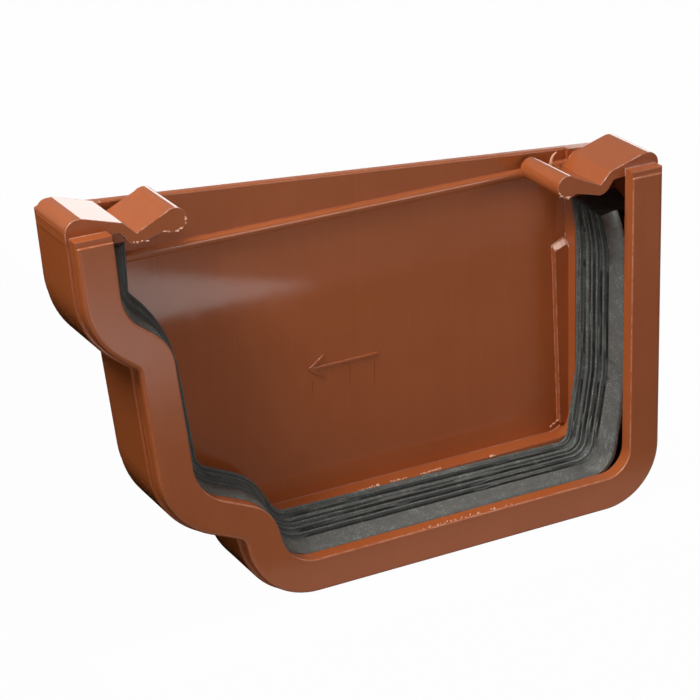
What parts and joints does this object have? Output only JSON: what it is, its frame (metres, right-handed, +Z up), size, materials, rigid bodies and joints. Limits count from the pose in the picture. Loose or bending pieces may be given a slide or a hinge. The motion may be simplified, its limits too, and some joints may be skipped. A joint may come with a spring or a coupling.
{
  "type": "gutter end cap",
  "caption": "Left-hand external stop end for an ogee rain gutter: a moulded plastic cap with snap clips over its arms and a ribbed rubber seal in its channel.",
  "frame": {"origin": "middle of the cap's width and depth, at the underside of its flat base", "axes": "+Z up as the cap hangs on the gutter, +X from the ogee front to the straight back wall, +Y from the open side to the end plate"},
  "size_m": [0.1256, 0.02, 0.0853],
  "materials": {
    "moulding": "caramel brown moulded plastic with a soft gloss",
    "seal": "dull grey foamed rubber"
  },
  "bodies": {
    "root": {"cap_body": "moulding", "seal": "seal"}
  },
  "joints": []
}
